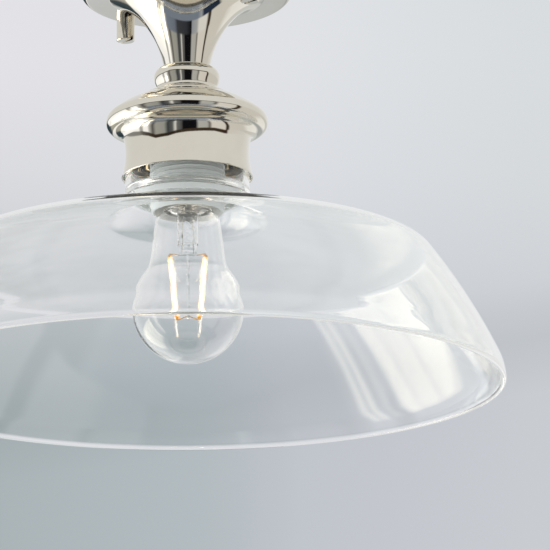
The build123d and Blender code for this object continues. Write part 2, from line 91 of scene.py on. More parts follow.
CAP_R = 13.1
CAP_HOLE_R = 10.2
CAP_PITCH = 3.63
CAP_THREAD = (5.0, -2.4)        # its two ends, from the cap's low and high ends
CAP_THREAD_DEPTH = 0.75
CAP_THREAD_SHARE = 0.9
CAP_SKIRT = [(0.0, 0.0), (0.0, 3.4), (-CAP_THREAD_DEPTH, 4.2)]
CAP_SHOULDER = [(-CAP_THREAD_DEPTH, -1.6), (-1.4, -0.5), (-2.4, 0.0)]
CAP_HOLE = [(0.0, 0.0), (0.0, -0.4)]
CAP_INSIDE_HIGH = [(-1.5, -1.6)]
CAP_INSIDE_LOW = [(-1.1, 4.2), (-0.4, 0.0)]

LAMP_WALL = 0.8
LAMP_FIT = 0.4                  # lamp glass to the cap's radius
LAMP_ROOT = 2.0                 # glass inside the cap
BALL_R = 30.0
BALL_TOUCH = 40.0               # where the neck's curve meets the ball, above its middle
BALL_PULL = 5.04                # handle of that curve
BALL_STEPS = 24
NECK_R, NECK_DROP = 17.6, 6.0
SHOULDER_R, SHOULDER_DROP = 18.7, 15.5

STRIP_TOP_R, STRIP_LOW_R = 9.4, 6.0             # lit strips from the lamp's axis
STRIP_TOP_INSET, STRIP_LOW_INSET = 0.5, 0.3     # inside the ends of the strips' box
# Radius of the shell round each lit strip, wide enough that its glow paints a halo of light round it.
COAT_AND_HALO_R = 1.6
CLIP_R = 0.95
CLIP_SPANS = ((-0.05, 0.03), (0.95, 1.07))      # along the strip, 0 its top and 1 its low end
CLIP_OUT, CLIP_OUT_MIDDLE = 0.25, 0.1           # outwards at its upper end and its middle
PINCH_RISE = 34.0                               # above the stem's low end
LEAD_R = 0.28
LEAD_PATH = [(2.2, 2.2, 1.0), (2.6, 1.6, 6.0), (1.7, 2.4, 13.0), (2.0, 2.0, 24.0)]
EXHAUST_R = 1.3
EXHAUST_PATH = [(0.0, 0.0, 5.0), (0.3, 0.0, 12.0), (0.0, 0.0, 26.0)]
PINCH_R = 1.5
PINCH_PATH = [(-2.6, -2.6, 3.2), (0.0, 0.0, 4.0), (2.6, 2.6, 3.0)]

# ---------------------------------------------------------------- fineness of the meshes
RUN_STEP = 3.0                  # millimetres along a straight run
ARC_STEP = 2.0                  # millimetres along an arc
TURN_STEP = 4.0                 # degrees along an arc
ARC_STEPS_MIN = 4
END_STEPS = 8
ROUND_STEP = 15                 # degrees along a small rounding
SEGMENTS = 256
SHADE_SEGMENTS = 320
LAMP_SEGMENTS = 192
CAP_SEGMENTS = 128
THREAD_SEGMENTS = 72
THREAD_ACROSS = 8
THREAD_ROOT = 0.12              # ridge's foot below the surface it stands on
THREAD_FADE = 0.3               # of a turn, at each end
SHARP = 32.0                    # edges above this angle stay sharp
ON_AXIS = 1e-6


# ---------------------------------------------------------------- turned forms
def walk(start, heading, moves, shift=0.0):
    """Points of a chain of tangent arcs and runs in the (radius, height) plane, in millimetres.

    A move is (radius, turn in degrees), left positive, or (length, 0). shift moves it to its right.
    """
    right = (math.sin(math.radians(heading)), -math.cos(math.radians(heading)))
    point = (start[0] + shift * right[0], start[1] + shift * right[1])
    points = [point]
    for size, turn in moves:
        ahead = (math.cos(math.radians(heading)), math.sin(math.radians(heading)))
        if turn == 0:
            steps = max(1, int(size / RUN_STEP))
            for i in range(1, steps + 1):
                part = size * i / steps
                points.append((point[0] + ahead[0] * part, point[1] + ahead[1] * part))
            point = points[-1]
            continue
        hand = 1 if turn > 0 else -1
        radius = size + hand * shift
        centre = (point[0] - hand * radius * ahead[1], point[1] + hand * radius * ahead[0])
        steps = max(ARC_STEPS_MIN, int(abs(turn) / TURN_STEP), int(radius * math.radians(abs(turn)) / ARC_STEP))
        for i in range(1, steps + 1):
            angle = math.radians(heading + turn * i / steps)
            points.append((centre[0] + hand * radius * math.sin(angle),
                           centre[1] - hand * radius * math.cos(angle)))
        point = points[-1]
        heading += turn
    return points


def around(r, z, offsets):
    """Points of an outline, given from one of its corners."""
    return [(r + out, z + rise) for out, rise in offsets]


def small_round(r, z, across, along, start, stop):
    """Small rounding about a centre, from its height along at 0 degrees to its width across at 90."""
    angles = [math.radians(a) for a in range(start, stop + 1, ROUND_STEP)]
    return [(r + across * math.sin(a), z + along * math.cos(a)) for a in angles]


def rounded_end(outer, inner):
    """Half round that joins the ends of two faces of a wall, as points between them."""
    flatness = 0.9
    a, b = Vector(outer[-1]), Vector(inner[-1])
    out = (a - Vector(outer[-2])).normalized()
    middle, half = (a + b) / 2, (a - b) / 2
    points = []
    for i in range(1, END_STEPS):
        t = math.pi * i / END_STEPS
        points.append(tuple(middle + half * math.cos(t) + out * half.length * math.sin(t) * flatness))
    return points


def bezier(start, leave, arrive, end, steps):
    """Cubic curve without its first point; leave and arrive are its handles, from its two ends."""
    corners = (start, tuple(map(sum, zip(start, leave))), tuple(map(sum, zip(end, arrive))), end)
    points = []
    for i in range(1, steps + 1):
        t = i / steps
        s = 1 - t
        shares = (s ** 3, 3 * s * s * t, 3 * s * t * t, t ** 3)
        points.append(tuple(sum(share * corner[k] for share, corner in zip(shares, corners)) for k in range(2)))
    return points


def finished_mesh(bm, name):
    """Mesh of a bmesh with its normals outwards."""
    bmesh.ops.recalc_face_normals(bm, faces=bm.faces)
    mesh = bpy.data.meshes.new(name)
    bm.to_mesh(mesh)
    bm.free()
    return mesh


def piece(name, mesh, body, material, sharp):
    """Links a mesh as a smooth shaded piece that rides on a body."""
    obj = bpy.data.objects.new(name, mesh)
    bpy.context.scene.collection.objects.link(obj)
    mesh.shade_smooth()
    mesh.set_sharp_from_angle(angle=math.radians(sharp))
    mesh.materials.clear()
    mesh.materials.append(material)
    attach(obj, body)
    return obj


def spin(name, outline, body, material, sharp=SHARP, segments=SEGMENTS):
    """Object of revolution about Z from a closed outline of (radius, height) in millimetres."""
    bm = bmesh.new()
    rings = []
    for r, z in outline:
        if r < ON_AXIS:
            rings.append([bm.verts.new((0, 0, z * MM))])
            continue
        ring = []
        for i in range(segments):
            a = 2 * math.pi * i / segments
            ring.append(bm.verts.new((r * MM * math.cos(a), r * MM * math.sin(a), z * MM)))
        rings.append(ring)
    for a, b in zip(rings, rings[1:] + rings[:1]):
        if len(a) == 1 and len(b) == 1:
            continue
        for i in range(segments):
            j = (i + 1) % segments
            if len(a) == 1:
                bm.faces.new((a[0], b[j], b[i]))
            elif len(b) == 1:
                bm.faces.new((a[i], a[j], b[0]))
            else:
                bm.faces.new((a[i], a[j], b[j], b[i]))
    return piece(name, finished_mesh(bm, name), body, material, sharp)


def helix(name, radius, low, high, pitch, depth, share, body, material):
    """A round screw thread: a ridge that winds up a cylinder of that radius, in millimetres."""
    count = int((high - low) / pitch * THREAD_SEGMENTS)
    fade_steps = THREAD_SEGMENTS * THREAD_FADE
    bm = bmesh.new()
    rows = []
    for i in range(count + 1):
        a = 2 * math.pi * i / THREAD_SEGMENTS
        z = low + pitch * i / THREAD_SEGMENTS
        fade = min(1.0, i / fade_steps, (count - i) / fade_steps)
        row = []
        for k in range(THREAD_ACROSS + 1):
            t = k / THREAD_ACROSS
            lift = (0.5 - 0.5 * math.cos(2 * math.pi * t)) * depth * fade
            r = (radius - THREAD_ROOT + lift + THREAD_ROOT * math.sin(math.pi * t)) * MM
            height = (z + (t - 0.5) * pitch * share) * MM
            row.append(bm.verts.new((r * math.cos(a), r * math.sin(a), height)))
        rows.append(row)
    for a, b in zip(rows, rows[1:]):
        for k in range(THREAD_ACROSS):
            bm.faces.new((a[k], b[k], b[k + 1], a[k + 1]))
    return piece(name, finished_mesh(bm, name), body, material, 80.0)


def rod(name, points, radius, body, material):
    """Round wire that curves through points in millimetres."""
    curve = bpy.data.curves.new(name, "CURVE")
    curve.dimensions = "3D"
    curve.bevel_depth = radius * MM
    curve.bevel_resolution = 4
    curve.resolution_u = 12
    curve.use_fill_caps = True
    spline = curve.splines.new("NURBS")
    spline.points.add(len(points) - 1)
    for p, (x, y, z) in zip(spline.points, points):
        p.co = (x * MM, y * MM, z * MM, 1)
    spline.order_u = 3
    spline.use_endpoint_u = True
    obj = bpy.data.objects.new(name, curve)
    bpy.context.scene.collection.objects.link(obj)
    curve.materials.append(material)
    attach(obj, body)
    return obj


def top_mm(name):
    """Height of a node's top, in millimetres."""
    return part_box(name)[1].z / MM


def low_mm(name):
    """Height of a node's low end, in millimetres."""
    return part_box(name)[0].z / MM


# ---------------------------------------------------------------- shader nodes
def new_material(name):
    """Empty node material, its tree and its Principled shader."""
    mat = bpy.data.materials.new(name)
    mat.use_nodes = True
    tree = mat.node_tree
    return mat, tree, tree.nodes["Principled BSDF"]


def feed(tree, value, socket):
    """Gives a socket a number, a colour or another socket's value."""
    if isinstance(value, (int, float)):
        socket.default_value = value
    elif isinstance(value, tuple):
        socket.default_value = (*value, 1)
    else:
        tree.links.new(value, socket)


def ramp(tree, source, stops, interpolation="EASE"):
    """Colour ramp node fed by source; stops are (position, grey or colour)."""
    node = tree.nodes.new("ShaderNodeValToRGB")
    node.color_ramp.interpolation = interpolation
    elements = node.color_ramp.elements
    while len(elements) > 1:
        elements.remove(elements[-1])
    for i, (place, colour) in enumerate(stops):
        if not isinstance(colour, tuple):
            colour = (colour, colour, colour)
        element = elements[0] if i == 0 else elements.new(place)
        element.position = place
        element.color = (*colour, 1)
    tree.links.new(source, node.inputs["Fac"])
    return node.outputs["Color"]


def calc(tree, operation, a, b, clamp=False):
    """Math node of two sockets or numbers."""
    node = tree.nodes.new("ShaderNodeMath")
    node.operation = operation
    node.use_clamp = clamp
    feed(tree, a, node.inputs[0])
    feed(tree, b, node.inputs[1])
    return node.outputs[0]


def mix(tree, factor, a, b):
    """Colour mix node of sockets, numbers or colours."""
    node = tree.nodes.new("ShaderNodeMix")
    node.data_type = "RGBA"
    for key, value in ((0, factor), (6, a), (7, b)):
        feed(tree, value, node.inputs[key])
    return node.outputs[2]


def noise(tree, scale, detail=3.0, rough=0.5, stretch=None):
    """Noise in object space, which has metres; stretch scales it along each axis."""
    coords = tree.nodes.new("ShaderNodeTexCoord")
    place = coords.outputs["Object"]
    if stretch:
        mapping = tree.nodes.new("ShaderNodeMapping")
        mapping.inputs["Scale"].default_value = stretch
        tree.links.new(place, mapping.inputs["Vector"])
        place = mapping.outputs["Vector"]
    node = tree.nodes.new("ShaderNodeTexNoise")
    node.inputs["Scale"].default_value = scale
    node.inputs["Detail"].default_value = detail
    node.inputs["Roughness"].default_value = rough
    tree.links.new(place, node.inputs["Vector"])
    return node.outputs["Fac"]


def bump(tree, shader, height, distance):
    """Bump on a shader from a height socket, its distance in metres."""
    node = tree.nodes.new("ShaderNodeBump")
    node.inputs["Strength"].default_value = 1.0
    node.inputs["Distance"].default_value = distance
    tree.links.new(height, node.inputs["Height"])
    tree.links.new(node.outputs["Normal"], shader.inputs["Normal"])


# ---------------------------------------------------------------- materials
def metal(name, colour, dark, low, high, wave, scale, stretch=None):
    """Plated or bare metal: colour varies a little, roughness follows fine polishing marks."""
    mat, tree, shader = new_material(name)
    shader.inputs["Metallic"].default_value = 1.0
    patch = noise(tree, scale, 4.0, 0.6, stretch)
    tree.links.new(ramp(tree, patch, [(0.3, dark), (0.7, colour)]), shader.inputs["Base Color"])
    marks = noise(tree, scale * 6, 5.0, 0.65, stretch)
    tree.links.new(ramp(tree, marks, [(0.35, low), (0.75, high)]), shader.inputs["Roughness"])
    if wave:
        bump(tree, shader, noise(tree, scale * 0.5, 1.0, 0.4, stretch), wave)
    return mat


def plastic(name, colour, dark, low, high, subsurface=0.0):
    """Moulded plastic or ceramic: faint mottling, a fine moulded grain."""
    mat, tree, shader = new_material(name)
    patch = noise(tree, 45.0, 4.0, 0.55)
    tree.links.new(ramp(tree, patch, [(0.3, dark), (0.7, colour)]), shader.inputs["Base Color"])
    grain = noise(tree, 900.0)
    tree.links.new(ramp(tree, grain, [(0.3, low), (0.7, high)]), shader.inputs["Roughness"])
    if subsurface:
        shader.inputs["Subsurface Weight"].default_value = subsurface
        shader.inputs["Subsurface Scale"].default_value = 0.003
    bump(tree, shader, grain, 0.00004)
    return mat


def glass(name, colour, ior, wave=0.0, scale=1.0):
    """Clear glass, with the slow unevenness of a blown wall.

    Shadow and diffuse rays pass, so that what it holds is lit. A ray that stays trapped in the wall past
    trapped_depth passes too, so that thick edges stay bright.
    """
    trapped_depth = 5.5
    mat, tree, shader = new_material(name)
    shader.inputs["Base Color"].default_value = (*colour, 1)
    shader.inputs["Transmission Weight"].default_value = 1.0
    shader.inputs["IOR"].default_value = ior
    shader.inputs["Roughness"].default_value = 0.0
    if wave:
        bump(tree, shader, noise(tree, scale, 2.6, 0.45, (1.0, 1.0, 0.6)), wave)
    path = tree.nodes.new("ShaderNodeLightPath")
    solid = calc(tree, "LESS_THAN", path.outputs["Ray Depth"], trapped_depth)
    passed = calc(tree, "MAXIMUM", path.outputs["Is Shadow Ray"], path.outputs["Is Diffuse Ray"])
    tree.links.new(calc(tree, "SUBTRACT", solid, passed, clamp=True), shader.inputs["Alpha"])
    return mat


def filament_material():
    """Lit phosphor strip: white hot along its length, orange at its ends."""
    mat, tree, shader = new_material("lit_filament")
    coords = tree.nodes.new("ShaderNodeTexCoord")
    split = tree.nodes.new("ShaderNodeSeparateXYZ")
    tree.links.new(coords.outputs["Generated"], split.inputs["Vector"])
    orange, yellow, hot = (1.0, 0.42, 0.08), (1.0, 0.72, 0.32), (1.0, 0.93, 0.80)
    stops = [(0.0, orange), (0.07, yellow), (0.18, hot), (0.86, hot), (0.94, yellow), (1.0, orange)]
    tint = ramp(tree, split.outputs["Z"], stops, "LINEAR")
    tree.links.new(tint, shader.inputs["Base Color"])
    tree.links.new(tint, shader.inputs["Emission Color"])
    shader.inputs["Emission Strength"].default_value = 10.0
    shader.inputs["Roughness"].default_value = 0.5
    return mat


def coat_and_halo_material():
    """Phosphor coating round a lit strip, wider than the real one, so that its warm glow also paints a halo of
    light round the strip: thin at its edges.
    """
    mat, tree, shader = new_material("filament_coat_and_halo")
    facing = tree.nodes.new("ShaderNodeLayerWeight")
    facing.inputs["Blend"].default_value = 0.5
    # Painted halo: the shell fades out towards its edges while it glows warm.
    cover = ramp(tree, facing.outputs["Facing"], [(0.0, 0.30), (0.55, 0.16), (1.0, 0.0)])
    tree.links.new(cover, shader.inputs["Alpha"])
    glow = ramp(tree, noise(tree, 700.0, 2.0, 0.5), [(0.3, (1.0, 0.62, 0.30)), (0.7, (1.0, 0.72, 0.42))])
    tree.links.new(glow, shader.inputs["Emission Color"])
    shader.inputs["Base Color"].default_value = (0.9, 0.6, 0.3, 1)
    shader.inputs["Emission Strength"].default_value = 1.5
    shader.inputs["Specular IOR Level"].default_value = 0.0
    shader.inputs["Roughness"].default_value = 1.0
    return mat


# Metals: colour, its darker patches, lowest and highest roughness, depth of the waves, scale of the marks.
NICKEL = metal("polished_nickel", (0.80, 0.765, 0.69), (0.76, 0.72, 0.645), 0.025, 0.06, 0.00002, 28.0)
NICKEL_SMALL = metal("nickel_small", (0.79, 0.75, 0.67), (0.72, 0.68, 0.60), 0.05, 0.11, 0.00001, 160.0)
ZINC = metal("zinc_steel", (0.62, 0.635, 0.64), (0.50, 0.52, 0.53), 0.24, 0.42, 0.00002, 130.0, (1.0, 6.0, 1.0))
BRASS = metal("bright_brass", (0.80, 0.62, 0.30), (0.68, 0.50, 0.22), 0.16, 0.30, 0.00001, 150.0)
CAP_METAL = metal("cap_metal", (0.78, 0.76, 0.72), (0.68, 0.66, 0.62), 0.12, 0.26, 0.00001, 140.0)
WIRE = metal("support_wire", (0.86, 0.60, 0.36), (0.66, 0.42, 0.22), 0.20, 0.35, 0.0, 400.0)
CLIP = metal("gilt_clip", (0.95, 0.58, 0.20), (0.80, 0.42, 0.12), 0.18, 0.34, 0.0, 300.0)
HOLDER = plastic("holder_plastic", (0.76, 0.79, 0.765), (0.71, 0.74, 0.72), 0.36, 0.50)
BLOCK = plastic("block_plastic", (0.86, 0.86, 0.83), (0.80, 0.80, 0.77), 0.35, 0.5, subsurface=0.2)
CERAMIC = plastic("ceramic", (0.84, 0.82, 0.77), (0.78, 0.76, 0.71), 0.25, 0.4)
INSULATOR = plastic("black_insulator", (0.02, 0.02, 0.025), (0.012, 0.012, 0.015), 0.08, 0.2)
BOARD = plastic("board", (0.10, 0.26, 0.15), (0.07, 0.20, 0.11), 0.35, 0.5)
GASKET = plastic("gasket", (0.80, 0.82, 0.82), (0.74, 0.76, 0.76), 0.35, 0.5, subsurface=0.4)
SHADE_GLASS = glass("shade_glass", (0.985, 0.992, 0.992), 1.47, 0.0008, 11.0)
LAMP_GLASS = glass("lamp_glass", (0.995, 0.995, 0.995), 1.45)
STEM_GLASS = glass("stem_glass", (0.98, 0.985, 0.985), 1.47, 0.0008, 240.0)
FILAMENT = filament_material()
COAT_AND_HALO = coat_and_halo_material()

# The solids that are shown as they are, each with its material.
FINISHES = (
    (ZINC, ("ceiling_bracket", "bracket_studs", "stud_lock_nuts", "terminal_screws", "block_screw",
            "threaded_tube", "tube_top_nut", "tube_top_washer", "tube_lock_washer", "tube_lock_nut")),
    (BRASS, ("earth_screw", "terminal_tubes", "holder_terminals", "centre_contact", "screw_shell")),
    (NICKEL_SMALL, ("rose_nut_a", "rose_nut_b", "rose_washer_a", "rose_washer_b")),
    (HOLDER, ("holder_cap", "shade_ring")),
    (BLOCK, ("terminal_block",)),
    (CERAMIC, ("contact_carrier",)),
    (GASKET, ("neck_gasket",)),
    (CAP_METAL, ("lamp_tip",)),
    (INSULATOR, ("lamp_insulator",)),
    (BOARD, ("lamp_driver",)),
    (WIRE, ("lamp_wires",)),
    (FILAMENT, ("lamp_filaments",)),
    (STEM_GLASS, ("lamp_stem",)),
)
for material, names in FINISHES:
    for name in names:
        mesh = nodes[name].data
        mesh.materials.clear()
        mesh.materials.append(material)

# ---------------------------------------------------------------- rose, collar, gallery
rose_moves = [(ROSE_DEPTH - ROSE_RIM_R, 0), (ROSE_RIM_R, -90.0), (ROSE_R - ROSE_RIM_R - TRUMPET_MOUTH_R, 0)]
rose_moves += TRUMPET_MOVES
outer = walk((ROSE_R, 0.0), -90.0, rose_moves)
inner = walk((ROSE_R, 0.0), -90.0, rose_moves, ROSE_WALL)
collar_top = outer[-1][1]
foot_inside = collar_top + ROSE_WALL
rose_outline = outer + [(TUBE_HOLE_R, collar_top), (TUBE_HOLE_R, foot_inside)]
rose_outline += [p for p in reversed(inner) if p[1] > foot_inside]
rose = spin("rose_spun", rose_outline, "fixture", NICKEL)
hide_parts("rose")

cove = walk((BEAD_R - BEAD_ROUND, collar_top), 0.0, COLLAR_MOVES)
foot_z = cove[-1][1] - (FOOT_R - cove[-1][0]) * math.tan(math.radians(FOOT_SLOPE))
seat = foot_z - FOOT_EDGE
collar_outline = [(TUBE_HOLE_R, collar_top)] + cove + around(FOOT_R, foot_z, FOOT_CORNER)
collar_outline += [(FOOT_R, seat + FOOT_LIFT), (TUBE_HOLE_R, seat + FOOT_LIFT)]
collar = spin("collar_turned", collar_outline, "fixture", NICKEL)
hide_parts("collar")

outer = walk((TUBE_HOLE_R, seat), 0.0, GALLERY_MOVES)
inner = walk((TUBE_HOLE_R, seat), 0.0, GALLERY_MOVES, GALLERY_WALL)
cup_inner_r = inner[-1][0]
gallery_outline = outer + rounded_end(outer, inner) + list(reversed(inner))
gallery = spin("gallery_spun", gallery_outline, "fixture", NICKEL)
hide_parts("gallery")

# ---------------------------------------------------------------- shade
collar_high = top_mm("shade_collar")
collar_r = cup_inner_r - GLASS_GAP
wall_r = collar_r - GLASS_WALL
half_wall = GLASS_WALL / 2
shade_start = (collar_r, collar_high - GLASS_ROUND)
shade_moves = [(GLASS_COLLAR_LENGTH - GLASS_ROUND, 0)] + SHADE_MOVES
outer = walk(shade_start, -90.0, shade_moves)
inner = walk(shade_start, -90.0, shade_moves, GLASS_WALL)
seat_top = collar_high - GLASS_COLLAR_LENGTH + GLASS_WALL * SEAT_RISE
seat_under = seat_top - GLASS_WALL
inner_high = [p for p in inner if p[1] > seat_top + GLASS_ROUND]
inner_low = [p for p in inner if p[1] < seat_under - GLASS_UNDER_CLEAR]
top_round = small_round(collar_r - half_wall, collar_high - GLASS_ROUND, half_wall, GLASS_ROUND, -90, 90)
hole_round = small_round(SEAT_R + GLASS_ROUND, (seat_top + seat_under) / 2, -GLASS_ROUND, half_wall, 0, 180)
upper_root = small_round(wall_r - GLASS_ROUND, seat_top + GLASS_ROUND, GLASS_ROUND, GLASS_ROUND, 90, 180)
under_root = small_round(inner_low[0][0] - GLASS_UNDER_ROUND, seat_under - GLASS_UNDER_ROUND,
                         GLASS_UNDER_ROUND, GLASS_UNDER_ROUND, 0, 90)
shade_outline = top_round + outer[1:] + rounded_end(outer, inner)
for stretch in (inner_low, under_root, hole_round, upper_root, inner_high):
    shade_outline += reversed(stretch)
shade = spin("shade_blown", shade_outline, "shade", SHADE_GLASS, 50.0, SHADE_SEGMENTS)
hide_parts("shade_collar", "shade_seat", "shade_top", "shade_side")

# ---------------------------------------------------------------- lampholder body
mouth = low_mm("holder_body")
bore_r = HOLDER_R - HOLDER_WALL
holder_outline = around(HOLDER_R, mouth, HOLDER_MOUTH)
holder_outline += [(HOLDER_R, top_mm("holder_body")), (bore_r, top_mm("holder_body"))]
holder_outline += around(bore_r, mouth, HOLDER_MOUTH_BORE)
holder = spin("holder_moulded", holder_outline, "fixture", HOLDER)
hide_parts("holder_body")
thread_low, thread_high = (mouth + end for end in HOLDER_THREAD)
thread = helix("holder_thread", HOLDER_R, thread_low, thread_high, HOLDER_PITCH, HOLDER_THREAD_DEPTH,
               HOLDER_THREAD_SHARE, "fixture", HOLDER)

# ---------------------------------------------------------------- lamp
cap_low, cap_high = low_mm("lamp_cap"), top_mm("lamp_cap")
cap_outline = around(CAP_R, cap_low, CAP_SKIRT) + around(CAP_R, cap_high, CAP_SHOULDER)
cap_outline += around(CAP_HOLE_R, cap_high, CAP_HOLE) + around(CAP_R, cap_high, CAP_INSIDE_HIGH)
cap_outline += around(CAP_R, cap_low, CAP_INSIDE_LOW)
cap = spin("lamp_cap_shell", cap_outline, "lamp", CAP_METAL, 40.0, CAP_SEGMENTS)
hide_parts("lamp_cap")
thread_low, thread_high = cap_low + CAP_THREAD[0], cap_high + CAP_THREAD[1]
cap_thread = helix("lamp_cap_thread", CAP_R - CAP_THREAD_DEPTH, thread_low, thread_high, CAP_PITCH,
                   CAP_THREAD_DEPTH, CAP_THREAD_SHARE, "lamp", CAP_METAL)

ball = low_mm("lamp_glass") + BALL_R


def lamp_face(inset):
    """Outline of the lamp glass from its root in the cap to its tip; inset is the wall for its inner face."""
    r = BALL_R - inset
    touch_angle = math.radians(BALL_TOUCH)
    touch = (r * math.cos(touch_angle), ball + r * math.sin(touch_angle))
    pull = (-BALL_PULL * math.sin(touch_angle), BALL_PULL * math.cos(touch_angle))
    fit = (CAP_R - LAMP_FIT - inset, cap_low)
    neck = (NECK_R - inset, cap_low - NECK_DROP)
    shoulder = (SHOULDER_R - inset, cap_low - SHOULDER_DROP)
    points = [(fit[0], cap_low + LAMP_ROOT), fit]
    points += bezier(fit, (0.4, -1.6), (-0.5, 2.8), neck, 10)
    points += bezier(neck, (0.35, -3.0), (-0.3, 3.0), shoulder, 8)
    points += bezier(shoulder, (0.9, -7.0), pull, touch, 12)
    for i in range(1, BALL_STEPS):
        a = touch_angle - (touch_angle + math.pi / 2) * i / BALL_STEPS
        points.append((r * math.cos(a), ball + r * math.sin(a)))
    points.append((0.0, ball - r))
    return points


lamp_outline = lamp_face(0.0) + list(reversed(lamp_face(LAMP_WALL)))
lamp_glass = spin("lamp_glass_blown", lamp_outline, "lamp", LAMP_GLASS, 60.0, LAMP_SEGMENTS)
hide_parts("lamp_glass")

# Coats of the two lit strips, whose glow paints a halo of light round them, their clips, the lead wires, and
# the glass tube and pinch in the stem.
strip_top = top_mm("lamp_filaments") - STRIP_TOP_INSET
strip_low = low_mm("lamp_filaments") + STRIP_LOW_INSET
pinch = low_mm("lamp_stem") + PINCH_RISE
diagonal = math.sqrt(0.5)


def on_strip(hand, t, out=0.0):
    """Point of a lit strip, from its top at 0 to its low end at 1; hand is the side that it is on."""
    r = (STRIP_TOP_R + (STRIP_LOW_R - STRIP_TOP_R) * t + out) * hand * diagonal
    return (r, r, strip_top + (strip_low - strip_top) * t)


def above_pinch(path, hand=1):
    """Path in the stem, given from its pinch; hand mirrors it to the other side."""
    return [(x * hand, y * hand, pinch + z) for x, y, z in path]


for number, hand in enumerate((-1, 1)):
    ends = [on_strip(hand, -0.01), on_strip(hand, 0.5), on_strip(hand, 1.01)]
    # The shell round each strip is partly its phosphor coat and partly a painted halo of light.
    coat_and_halo = rod(f"filament_coat_and_halo_{number}", ends, COAT_AND_HALO_R, "lamp", COAT_AND_HALO)
    for end, (high, low) in enumerate(CLIP_SPANS):
        middle = on_strip(hand, (high + low) / 2, CLIP_OUT_MIDDLE)
        bend = [on_strip(hand, high, CLIP_OUT), middle, on_strip(hand, low)]
        clip = rod(f"filament_clip_{number}_{end}", bend, CLIP_R, "lamp", CLIP)
    lead = rod(f"stem_lead_{number}", above_pinch(LEAD_PATH, hand), LEAD_R, "lamp", NICKEL_SMALL)
tube = rod("exhaust_tube", above_pinch(EXHAUST_PATH), EXHAUST_R, "lamp", STEM_GLASS)
bead = rod("pinch_bead", above_pinch(PINCH_PATH), PINCH_R, "lamp", STEM_GLASS)

# ---------------------------------------------------------------- camera at the photograph's viewing angle
VIEW_AZIMUTH = math.radians(45.0)      # camera stands this far round from -Y towards +X
CAMERA_DISTANCE = 1.822
CAMERA_HEIGHT = -0.624
CAMERA_YAW = math.radians(1.47)
CAMERA_PITCH = math.radians(14.16)
CAMERA_ROLL = math.radians(-0.65)
FOCAL_PIXELS = 3500.0
FRAME_PIXELS = 550.0
SENSOR = 36.0

side = Vector((math.cos(VIEW_AZIMUTH), math.sin(VIEW_AZIMUTH), 0.0))
away = Vector((-math.sin(VIEW_AZIMUTH), math.cos(VIEW_AZIMUTH), 0.0))
up = Vector((0.0, 0.0, 1.0))
level_forward = side * math.sin(CAMERA_YAW) + away * math.cos(CAMERA_YAW)
forward = level_forward * math.cos(CAMERA_PITCH) + up * math.sin(CAMERA_PITCH)
level = side * math.cos(CAMERA_YAW) - away * math.sin(CAMERA_YAW)
lift = level.cross(forward)
camera_x = level * math.cos(CAMERA_ROLL) + lift * math.sin(CAMERA_ROLL)
camera_y = lift * math.cos(CAMERA_ROLL) - level * math.sin(CAMERA_ROLL)
camera_data = bpy.data.cameras.new("camera")
camera_data.sensor_width = SENSOR
camera_data.lens = FOCAL_PIXELS / FRAME_PIXELS * SENSOR
camera_data.clip_end = 60.0
camera = bpy.data.objects.new("camera", camera_data)
camera_turn = Matrix((camera_x, camera_y, -forward)).transposed()
camera.matrix_world = Matrix.Translation(up * CAMERA_HEIGHT - away * CAMERA_DISTANCE) @ camera_turn.to_4x4()
bpy.context.scene.collection.objects.link(camera)
bpy.context.scene.camera = camera

# ---------------------------------------------------------------- studio: floor and lamps
FLOOR_Z = -4.6
FLOOR_HALF = 7.0
floor_mesh = bpy.data.meshes.new("floor")
floor_corners = [(x * FLOOR_HALF, y * FLOOR_HALF, FLOOR_Z) for x, y in ((-1, -1), (1, -1), (1, 1), (-1, 1))]
floor_mesh.from_pydata(floor_corners, [], [(0, 1, 2, 3)])
floor = bpy.data.objects.new("floor", floor_mesh)
bpy.context.scene.collection.objects.link(floor)
floor_mat, floor_tree, floor_shader = new_material("pale_floor")
floor_shader.inputs["Base Color"].default_value = (0.78, 0.79, 0.80, 1)
floor_shader.inputs["Roughness"].default_value = 0.7
# What metal and glass mirror goes through the floor, to the room in the world.
floor_path = floor_tree.nodes.new("ShaderNodeLightPath")
open_floor = floor_tree.nodes.new("ShaderNodeBsdfTransparent")
floor_mix = floor_tree.nodes.new("ShaderNodeMixShader")
floor_tree.links.new(floor_path.outputs["Glossy Depth"], floor_mix.inputs[0])
floor_tree.links.new(floor_shader.outputs["BSDF"], floor_mix.inputs[1])
floor_tree.links.new(open_floor.outputs["BSDF"], floor_mix.inputs[2])
floor_tree.links.new(floor_mix.outputs["Shader"], floor_tree.nodes["Material Output"].inputs["Surface"])
floor_mesh.materials.append(floor_mat)


def direction(azimuth, elevation):
    """Unit vector; azimuth is degrees round from the camera's side towards its right."""
    a, e = math.radians(azimuth), math.radians(elevation)
    return ((-away) * math.cos(a) + side * math.sin(a)) * math.cos(e) + up * math.sin(e)


def window(name, azimuth, elevation, width, height, distance, radiance, tint):
    """Upright soft rectangular light that faces the fitting. It lights surfaces and isn't seen itself."""
    data = bpy.data.lights.new(name, "AREA")
    data.shape = "RECTANGLE"
    data.size = width
    data.size_y = height
    data.energy = radiance * width * height * math.pi
    data.color = tint
    obj = bpy.data.objects.new(name, data)
    way = direction(azimuth, elevation)
    obj.location = Vector((0, 0, -0.12)) + way * distance
    obj.rotation_mode = "QUATERNION"
    obj.rotation_quaternion = Vector((way.x, way.y, 0)).normalized().to_track_quat("Z", "Y")
    obj.visible_camera = False
    obj.visible_glossy = False
    obj.visible_transmission = False
    bpy.context.scene.collection.objects.link(obj)


for i, azimuth in enumerate((-132.0, -113.0, -94.0, -75.0)):
    window(f"window_left_{i}", azimuth, -10.0, 0.72, 2.3, 2.6, 2.4, (0.98, 0.99, 1.0))
window("window_front", 46.0, 2.0, 0.9, 1.8, 2.8, 1.4, (1.0, 0.99, 0.96))

